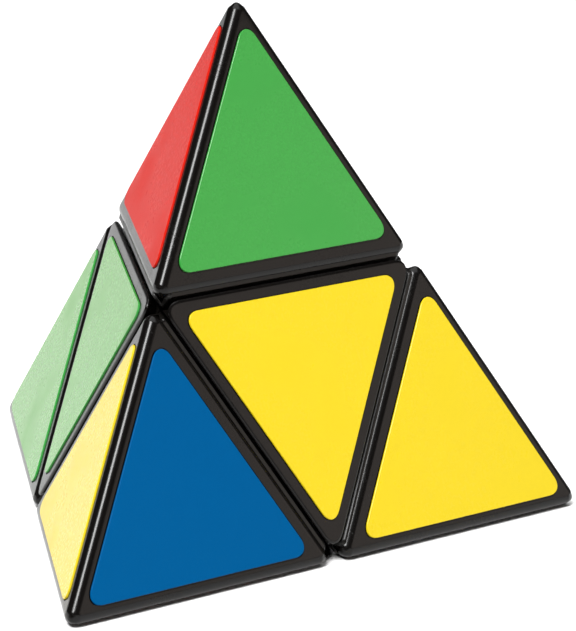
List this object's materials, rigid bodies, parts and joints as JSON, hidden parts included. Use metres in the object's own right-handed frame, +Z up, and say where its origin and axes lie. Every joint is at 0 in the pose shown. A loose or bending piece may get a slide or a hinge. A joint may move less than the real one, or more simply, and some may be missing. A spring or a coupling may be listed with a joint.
{
  "type": "pyramid twisty puzzle",
  "caption": "Pyramid twisty puzzle of glossy black pieces with coloured triangular stickers, whose halves turn about a hidden spring-loaded core.",
  "frame": {"origin": "centre of the under face, on the resting plane, straight below the top tip", "axes": "+Z up through the top tip; the front face looks towards -Y and its lower edge runs along X; +X to the right seen from the front"},
  "size_m": [0.0862, 0.0751, 0.0711],
  "materials": {
    "shell_plastic": "glossy injection-moulded black plastic",
    "inner_plastic": "smooth black plastic",
    "core_plastic": "plain moulded plastic",
    "steel": "plain steel",
    "sticker_red": "smooth vinyl",
    "sticker_yellow": "smooth vinyl",
    "sticker_green": "smooth vinyl",
    "sticker_blue": "smooth vinyl"
  },
  "bodies": {
    "core_and_middle": {"core": "core_plastic", "axle_screws": "steel", "axle_springs": "steel", "spring_washers": "steel", "hidden_edge_front_right": "inner_plastic", "hidden_edge_left_back": "inner_plastic", "hidden_edge_right_top": "inner_plastic", "hidden_edge_under_left": "inner_plastic"},
    "left_half": {"cap_front_left_edge": "inner_plastic", "hidden_edge_front_top": "inner_plastic", "hidden_edge_front_left": "inner_plastic", "hidden_edge_left_top": "inner_plastic", "hidden_edge_left_front": "inner_plastic", "top_tip_base": "inner_plastic", "top_tip_shell": "shell_plastic", "top_tip_sticker_front": "sticker_green", "top_tip_sticker_right": "sticker_blue", "top_tip_sticker_left": "sticker_red", "left_tip_base": "inner_plastic", "left_tip_shell": "shell_plastic", "left_tip_sticker_left": "sticker_yellow", "left_tip_sticker_under": "sticker_red", "left_tip_sticker_front": "sticker_blue", "front_centre_base": "inner_plastic", "front_centre_shell": "shell_plastic", "front_centre_sticker": "sticker_yellow", "left_centre_base": "inner_plastic", "left_centre_shell": "shell_plastic", "left_centre_sticker": "sticker_green"},
    "right_half": {"cap_back_right_edge": "inner_plastic", "hidden_edge_right_front": "inner_plastic", "hidden_edge_right_back": "inner_plastic", "hidden_edge_under_back": "inner_plastic", "hidden_edge_under_right": "inner_plastic", "right_tip_base": "inner_plastic", "right_tip_shell": "shell_plastic", "right_tip_sticker_right": "sticker_green", "right_tip_sticker_front": "sticker_yellow", "right_tip_sticker_under": "sticker_blue", "back_tip_base": "inner_plastic", "back_tip_shell": "shell_plastic", "back_tip_sticker_under": "sticker_yellow", "back_tip_sticker_left": "sticker_green", "back_tip_sticker_right": "sticker_red", "right_centre_base": "inner_plastic", "right_centre_shell": "shell_plastic", "right_centre_sticker": "sticker_red", "under_centre_base": "inner_plastic", "under_centre_shell": "shell_plastic", "under_centre_sticker": "sticker_blue"},
    "front_right_cap": {"cap_front_right_edge": "inner_plastic"},
    "back_left_cap": {"cap_back_left_edge": "inner_plastic"},
    "back_cap": {"cap_back_edge": "inner_plastic"},
    "front_cap": {"cap_front_edge": "inner_plastic"}
  },
  "joints": [
    {"name": "left_half_turn", "type": "hinge", "parent": "core_and_middle", "child": "left_half", "pos_m": [0, 0, 0.01862], "axis": [-0.7071, -0.4082, 0.5774], "continuous": true},
    {"name": "right_half_turn", "type": "hinge", "parent": "core_and_middle", "child": "right_half", "pos_m": [0, 0, 0.01862], "axis": [0.7071, 0.4082, -0.5774], "continuous": true},
    {"name": "front_right_cap_spin", "type": "hinge", "parent": "core_and_middle", "child": "front_right_cap", "pos_m": [0, 0, 0.01862], "axis": [0.7071, -0.4082, 0.5774], "continuous": true},
    {"name": "back_left_cap_spin", "type": "hinge", "parent": "core_and_middle", "child": "back_left_cap", "pos_m": [0, 0, 0.01862], "axis": [-0.7071, 0.4082, -0.5774], "continuous": true},
    {"name": "back_cap_spin", "type": "hinge", "parent": "core_and_middle", "child": "back_cap", "pos_m": [0, 0, 0.01862], "axis": [0, 0.8165, 0.5773], "continuous": true},
    {"name": "front_cap_spin", "type": "hinge", "parent": "core_and_middle", "child": "front_cap", "pos_m": [0, 0, 0.01862], "axis": [0, -0.8165, -0.5773], "continuous": true}
  ]
}
